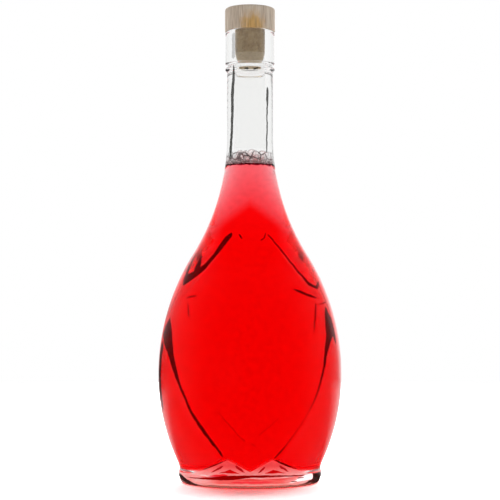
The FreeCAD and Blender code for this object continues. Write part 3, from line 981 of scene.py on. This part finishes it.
def dry_glass():
    """Glass in air, with painted shade in dark strokes along its creases, by the froth and below the neck,
    and a painted red glow for caught light.
    """
    material, tree = new_material("dry_glass")
    ripple = rippled(tree, 90.0)
    across, up, met = stroke_places(tree)
    width = stroke_width(tree)
    # Painted shade: dark strokes along and across the creases, dark lines on the neck and at the drops, and
    # grey edge lines, only on glass that the eye meets first
    rim = slanted(tree, *RIM_SLANT)
    dark = times(tree, stroke(tree, up, across, LEFT_RIM_STROKES), rim)
    dark = math_node(tree, "MAXIMUM", stroke(tree, across, up, CREST_LINES), dark)
    for points in (LEFT_STROKES, LEFT_MARKS, RIGHT_STROKES, RIGHT_MARKS, RIGHT_STAR):
        dark = math_node(tree, "MAXIMUM", stroke(tree, up, across, points, width), dark)
    dark = times(tree, dark, met)
    lines = stroke(tree, across, up, DROPS)
    for points in (LEFT_NECK, RIGHT_NECK):
        lines = math_node(tree, "MAXIMUM", stroke(tree, up, across, points, width), lines)
    lines = times(tree, lines, met)
    edge = times(tree, stroke(tree, up, across, RIGHT_EDGE), rim)
    edge = math_node(tree, "MAXIMUM", stroke(tree, up, across, LEFT_COLLAR, width), edge)
    edge = times(tree, edge, met)
    # A little painted shade on the glass above the fill level
    empty = ranged(tree, up, FILL_LEVEL / MM - 1, FILL_LEVEL / MM + 1)
    clear = mixed(tree, empty, FULL_SHADE, EMPTY_PAINTED_SHADE)
    plain = mixed(tree, ripple.outputs["Haze"], clear, HAZY_SHADE)
    # Painted shade: a deeper red in a tent below the neck
    side = math_node(tree, "ABSOLUTE", across)
    drop = math_node(tree, "SUBTRACT", math_node(tree, "MULTIPLY_ADD", side, -DEEP_SLOPE, DEEP_TOP), up)
    deep = ranged(tree, drop, 0.0, DEEP_FADE)
    for value, low, high in ((side, *DEEP_SIDE), (up, *DEEP_RISE)):
        deep = times(tree, deep, ranged(tree, value, low, high))
    deep = times(tree, deep, math_node(tree, "SUBTRACT", 2.0, deep))
    deep = times(tree, deep, met)
    shade = mixed(tree, deep, plain, DEEP_PAINTED_SHADE)
    # Painted shade in faint lines
    faint = times(tree, stroke(tree, across, up, FAINT_LINES), met)
    shade = mixed(tree, faint, shade, FAINT_PAINTED_SHADE)
    shade = painted_froth_shade(tree, shade)
    shade = mixed(tree, edge, shade, EDGE_PAINTED_SHADE)
    shade = mixed(tree, lines, shade, LINE_PAINTED_SHADE)
    shade = mixed(tree, dark, shade, STROKE_PAINTED_SHADE)
    # A painted red glow, below the fill level, for light caught between the walls
    below = ranged(tree, up, FILL_LEVEL / MM, FILL_LEVEL / MM - 1)
    glow = mixed(tree, times(tree, caught_light(tree), below), (0, 0, 0), PAINTED_CAUGHT_GLOW)
    glass_shader(tree, shade, ripple, FULL_SHEEN, 1.0, 1.0, glow)
    material.cycles.emission_sampling = "NONE"
    return material


def wet_glass():
    material, tree = new_material("wet_glass")
    ripple = rippled(tree, 60.0)
    shade = mixed(tree, ripple.outputs["Haze"], (1, 1, 1), (0.98, 0.99, 0.985))
    glass_shader(tree, shade, ripple, NO_SHEEN, 1.0)
    return material


def foot_glass():
    """The thick foot's glass, partly milky and painted pale, with painted dark and bright patches of the
    light that it turns, painted glints and a painted glow.
    """
    material, tree = new_material("foot_glass")
    ripple = rippled(tree, 140.0)
    across, up, met = stroke_places(tree)
    off = math_node(tree, "ABSOLUTE", across)
    # Painted light: paler low down, redder higher up, and a red flush low in the middle
    pale = mixed(tree, ranged(tree, up, *FOOT_SHADES_UP), *FOOT_PAINTED_SHADES)
    cloud = times(tree, ripple.outputs["Haze"], FOOT_CLOUD_SHARE)
    shade = mixed(tree, cloud, pale, FOOT_CLOUD)
    low = ranged(tree, up, *FOOT_FLUSH_UP)
    middle = ranged(tree, off, *FOOT_FLUSH_SIDE)
    shade = mixed(tree, times(tree, low, middle), shade, FOOT_FLUSH)
    # Painted light and shade in the foot's strokes
    for points, colour in FOOT_PATCHES:
        patch = times(tree, stroke(tree, across, up, points), met)
        shade = mixed(tree, patch, shade, colour)
    # Painted shade at the foot's ends, seen at a slant
    slant = times(tree, slanted(tree, *RIM_SLANT), met)
    ends = times(tree, stroke(tree, across, up, FOOT_ENDS), slant)
    shade = mixed(tree, ends, shade, FOOT_END_PAINTED_SHADE)
    # A painted glint, cut by painted dark streaks, and its painted glow
    glint = times(tree, stroke(tree, across, up, FOOT_GLINT), met)
    streaks = times(tree, stroke(tree, across, up, FOOT_STREAKS), met)
    glint = math_node(tree, "SUBTRACT", glint, streaks, clamp=True)
    shade = mixed(tree, streaks, shade, FOOT_STREAK_PAINTED_SHADE)
    shade = mixed(tree, glint, shade, (1, 1, 1))
    glow = mixed(tree, glint, shade, (FOOT_PAINTED_GLINT_GLOW,) * 3)
    glass_shader(tree, shade, ripple, FOOT_SHEEN, FOOT_CLEARNESS, FOOT_PAINTED_GLOW, glow)
    return material


def red_drink():
    material, tree = new_material("clear_red_drink")
    ripple = rippled(tree, 40.0)
    shade = mixed(tree, ripple.outputs["Haze"], (1, 1, 1), (1.0, 0.97, 0.97))
    # Painted shade: a dark, uneven line along the brim near the wall, on the first surface of the drink that
    # a ray meets
    height = add(tree, "ShaderNodeSeparateXYZ", Vector=object_place(tree)).outputs["Z"]
    lumps = add(tree, "ShaderNodeTexNoise", Vector=object_place(tree), Scale=500.0, Detail=2.0)
    uneven = math_node(tree, "MULTIPLY_ADD", lumps.outputs["Fac"], BRIM_LUMPS, height)
    brim = FILL_LEVEL - LEVEL_DROP + BRIM_RISE
    first = math_node(tree, "LESS_THAN", path_fact(tree, "Transmission Depth"), 1.5)
    rim = times(tree, ranged(tree, uneven, brim - BRIM_SOFTNESS, brim), first)
    flat = add(tree, "ShaderNodeVectorMath", operation="MULTIPLY", i0=object_place(tree), i1=(1, 1, 0))
    out = add(tree, "ShaderNodeVectorMath", operation="LENGTH", i0=flat.outputs["Vector"])
    edge = wall_radius(FILL_LEVEL - LEVEL_DROP, WALL, NECK_BORE)
    rim = times(tree, rim, ranged(tree, out.outputs["Value"], edge - MM, edge))
    shade = mixed(tree, rim, shade, BRIM_PAINTED_SHADE)
    bump = add(tree, "ShaderNodeBump", Strength=0.3, Distance=0.03 * MM, Height=ripple.outputs["Height"])
    tint = add(tree, "ShaderNodeVolumeAbsorption", Color=DRINK_TINT, Density=DRINK_DENSITY)
    principled(
        tree,
        tint.outputs["Volume"],
        Base_Color=shade,
        Roughness=times(tree, ripple.outputs["Haze"], 0.004),
        IOR=DRINK_BEND,
        Specular_Tint=NO_SHEEN,
        Transmission_Weight=1.0,
        Normal=bump.outputs["Normal"],
    )
    return material


def bubble_film():
    material, tree = new_material("bubble_film")
    ripple = rippled(tree, 400.0)
    # Painted shade: the film darker at its rims, where it is seen at a slant
    facing = add(tree, "ShaderNodeLayerWeight", Blend=0.5)
    rim = ranged(tree, facing.outputs["Facing"], 0.4, 0.85)
    plain = mixed(tree, ripple.outputs["Haze"], (1.0, 0.98, 0.98), (0.96, 0.92, 0.92))
    shade = mixed(tree, rim, plain, (0.16, 0.09, 0.09))
    principled(
        tree,
        Base_Color=shade,
        Roughness=times(tree, ripple.outputs["Haze"], 0.03),
        IOR=FILM_BEND,
        Transmission_Weight=1.0,
    )
    return material


@functools.cache
def grown_streaks():
    """Streaks of two widths with pores in them, as wood and cork have."""
    group = new_group("grown_streaks", {"Place": "Vector"}, {"Streak": "Float", "Pores": "Float"})
    source = group.nodes.new("NodeGroupInput").outputs
    fine = add(group, "ShaderNodeTexNoise", Vector=source["Place"], Scale=6.5, Detail=6.0)
    wide = add(group, "ShaderNodeTexNoise", Vector=source["Place"], Scale=1.0, Detail=3.0)
    share = times(group, fine.outputs["Fac"], 0.55)
    streak = math_node(group, "MULTIPLY_ADD", wide.outputs["Fac"], 0.45, share)
    cells = add(group, "ShaderNodeTexVoronoi", Vector=source["Place"], Scale=3.0)
    pores = ranged(group, cells.outputs["Distance"], 0.1, 0.35, 1.0, 0.0)
    add(group, "NodeGroupOutput", Streak=streak, Pores=pores)
    return group


def turned_wood():
    material, tree = new_material("turned_hardwood")
    place = object_place(tree, (340, 340, 18))
    grain = add(tree, "ShaderNodeGroup", node_tree=grown_streaks(), Place=place)
    streak = grain.outputs["Streak"]
    shade = colour_ramp(
        tree,
        streak,
        (0.32, (0.42, 0.31, 0.22)),
        (0.46, (0.61, 0.49, 0.38)),
        (0.62, (0.76, 0.66, 0.54)),
    )
    spot = add(tree, "ShaderNodeTexCoord")
    away = add(tree, "ShaderNodeVectorMath", operation="DISTANCE", i0=spot.outputs["Object"], i1=STAIN_SPOT)
    blot = add(tree, "ShaderNodeTexNoise", Vector=object_place(tree, (340, 340, 220)), Scale=1.0, Detail=3.0)
    reach = math_node(tree, "MULTIPLY_ADD", blot.outputs["Fac"], -0.010, away.outputs["Value"])
    stain = ranged(tree, reach, 0.006, -0.003, 0.0, 0.85)
    ochre = colour_ramp(tree, streak, (0.30, (0.42, 0.20, 0.04)), (0.62, (0.74, 0.42, 0.09)))
    shade = mixed(tree, stain, shade, ochre)
    shade = mixed(tree, times(tree, grain.outputs["Pores"], 0.35), shade, (0.22, 0.15, 0.10))
    bump = add(tree, "ShaderNodeBump", Strength=0.4, Distance=0.2 * MM, Height=streak)
    principled(
        tree,
        Base_Color=shade,
        Roughness=ranged(tree, streak, 0.3, 0.7, 0.8, 0.6),
        Normal=bump.outputs["Normal"],
    )
    return material


def cork():
    material, tree = new_material("fine_cork")
    place = object_place(tree, (420, 420, 260))
    grain = add(tree, "ShaderNodeGroup", node_tree=grown_streaks(), Place=place)
    shade = colour_ramp(
        tree,
        grain.outputs["Streak"],
        (0.34, (0.27, 0.16, 0.065)),
        (0.46, (0.43, 0.28, 0.13)),
        (0.64, (0.58, 0.43, 0.23)),
    )
    # A painted highlight on the tapered lower end, which turns down towards the pale floor
    height = add(tree, "ShaderNodeSeparateXYZ", Vector=object_place(tree)).outputs["Z"]
    taper = SHANK_LOW + SHANK_TAPER.y
    lit_taper = ranged(tree, height, taper + 0.3 * MM, taper - 0.3 * MM, 0.0, 0.45)
    shade = mixed(tree, lit_taper, shade, (0.74, 0.62, 0.44))
    shade = mixed(tree, times(tree, grain.outputs["Pores"], 0.5), shade, (0.10, 0.06, 0.03))
    height = math_node(tree, "SUBTRACT", grain.outputs["Streak"], grain.outputs["Pores"])
    bump = add(tree, "ShaderNodeBump", Strength=0.5, Distance=0.2 * MM, Height=height)
    principled(
        tree,
        Base_Color=shade,
        Roughness=ranged(tree, grain.outputs["Pores"], 0.0, 1.0, 0.75, 0.95),
        Normal=bump.outputs["Normal"],
    )
    return material


def back_ramp(tree, way, stops):
    """Grey light by how far a way points to the back."""
    share = math_node(tree, "MULTIPLY_ADD", way, 0.5, 0.5)
    return colour_ramp(tree, share, *(((place + 1) / 2, (light,) * 3) for place, light in stops))


def screened(tree, split, sheen):
    """A sheen along a way, with a dark screen that stands on the left in it."""
    screen = math_node(
        tree,
        "MULTIPLY",
        ranged(tree, split.outputs["X"], *SCREEN_SIDE),
        ranged(tree, split.outputs["Z"], *SCREEN_TOP),
    )
    return mixed(tree, screen, sheen, SCREEN_SHADE)


def make_floor():
    """A pale round floor that takes the shadow, is white in the glass, and shines on it as the room does."""
    bm = bmesh.new()
    bmesh.ops.create_circle(bm, cap_ends=True, segments=96, radius=FLOOR_RADIUS)
    mesh = bpy.data.meshes.new("floor")
    bm.to_mesh(mesh)
    bm.free()
    floor = bpy.data.objects.new("floor", mesh)
    bpy.context.scene.collection.objects.link(floor)
    material, tree = new_material("floor")
    ray = add(tree, "ShaderNodeLightPath")
    pale = mixed(tree, ray.outputs["Is Camera Ray"], (0.85, 0.85, 0.85), (2.5, 2.5, 2.5))
    plain = add(tree, "ShaderNodeBsdfDiffuse", Color=pale)
    place = add(tree, "ShaderNodeTexCoord")
    way = add(tree, "ShaderNodeVectorMath", operation="NORMALIZE", i0=place.outputs["Object"])
    split = add(tree, "ShaderNodeSeparateXYZ", Vector=way.outputs["Vector"])
    away = add(tree, "ShaderNodeVectorMath", operation="LENGTH", i0=place.outputs["Object"])
    far = ranged(tree, away.outputs["Value"], *FLOOR_FADE)
    near_sheen = back_ramp(tree, split.outputs["Y"], FLOOR_SHEEN)
    sheen = mixed(tree, far, near_sheen, back_ramp(tree, split.outputs["Y"], SHEEN_LIGHT))
    shown = ranged(tree, away.outputs["Value"], *SCREEN_ON_FLOOR)
    sheen = mixed(tree, shown, sheen, screened(tree, split, sheen))
    shine = mixed(tree, ray.outputs["Is Transmission Ray"], sheen, (GLASS_LIGHT,) * 3)
    lit = add(tree, "ShaderNodeEmission", Color=shine)
    shader = add(
        tree,
        "ShaderNodeMixShader",
        Fac=ray.outputs["Is Glossy Ray"],
        i1=plain.outputs[0],
        i2=lit.outputs[0],
    )
    surface_output(tree, shader.outputs[0])
    mesh.materials.append(material)


def make_world():
    """White for the camera and in the glass, soft light from the back for plain surfaces, dark in front."""
    world = bpy.data.worlds.new("studio")
    bpy.context.scene.world = world
    world.use_nodes = True
    tree = world.node_tree
    tree.nodes.clear()
    way = add(tree, "ShaderNodeTexCoord").outputs["Generated"]
    split = add(tree, "ShaderNodeSeparateXYZ", Vector=way)
    ray = add(tree, "ShaderNodeLightPath")
    back = add(tree, "ShaderNodeVectorMath", operation="DOT_PRODUCT", i0=way, i1=BACK_WAY)
    large = ranged(tree, back.outputs["Value"], 0.5, 0.95, 0.0, BACK_LIGHT)
    fill = ranged(tree, split.outputs["Z"], 0.10, 0.28, FILL_LIGHT, TOP_LIGHT)
    room = add(tree, "ShaderNodeCombineColor")
    fill = times(tree, fill, ranged(tree, split.outputs["Y"], -0.6, 0.4, FRONT_SHARE, 1.0))
    for channel in room.inputs:
        tree.links.new(math_node(tree, "ADD", large, fill), channel)
    sheen = screened(tree, split, back_ramp(tree, split.outputs["Y"], SHEEN_LIGHT))
    deep = math_node(tree, "GREATER_THAN", ray.outputs["Transmission Depth"], RED_CROSSINGS)
    lights_plain = math_node(tree, "GREATER_THAN", ray.outputs["Diffuse Depth"], 0.5)
    past = mixed(tree, deep, room.outputs[0], (RED_LIGHT,) * 3)
    through = mixed(tree, lights_plain, (GLASS_LIGHT,) * 3, past)
    shade = mixed(tree, ray.outputs["Is Glossy Ray"], room.outputs[0], sheen)
    shade = mixed(tree, ray.outputs["Is Transmission Ray"], shade, through)
    shade = mixed(tree, ray.outputs["Is Camera Ray"], shade, (1, 1, 1))
    sky = add(tree, "ShaderNodeBackground", Color=shade)
    add(tree, "ShaderNodeOutputWorld", Surface=sky.outputs[0])


def make_camera():
    data = bpy.data.cameras.new("camera")
    data.lens = LENS
    data.sensor_width = 36
    camera = bpy.data.objects.new("camera", data)
    bpy.context.scene.collection.objects.link(camera)
    camera.location = EYE
    camera.rotation_euler = (AIM - EYE).to_track_quat("-Z", "Y").to_euler()
    bpy.context.scene.camera = camera


bpy.context.scene.view_settings.view_transform = "Standard"
bpy.context.scene.cycles.max_bounces = LIGHT_BOUNCES
bpy.context.scene.cycles.glossy_bounces = LIGHT_BOUNCES
bpy.context.scene.cycles.transmission_bounces = LIGHT_BOUNCES
make_camera()
make_world()
make_floor()
make_bottle()
make_drink()
make_froth()
make_head()
make_shank()
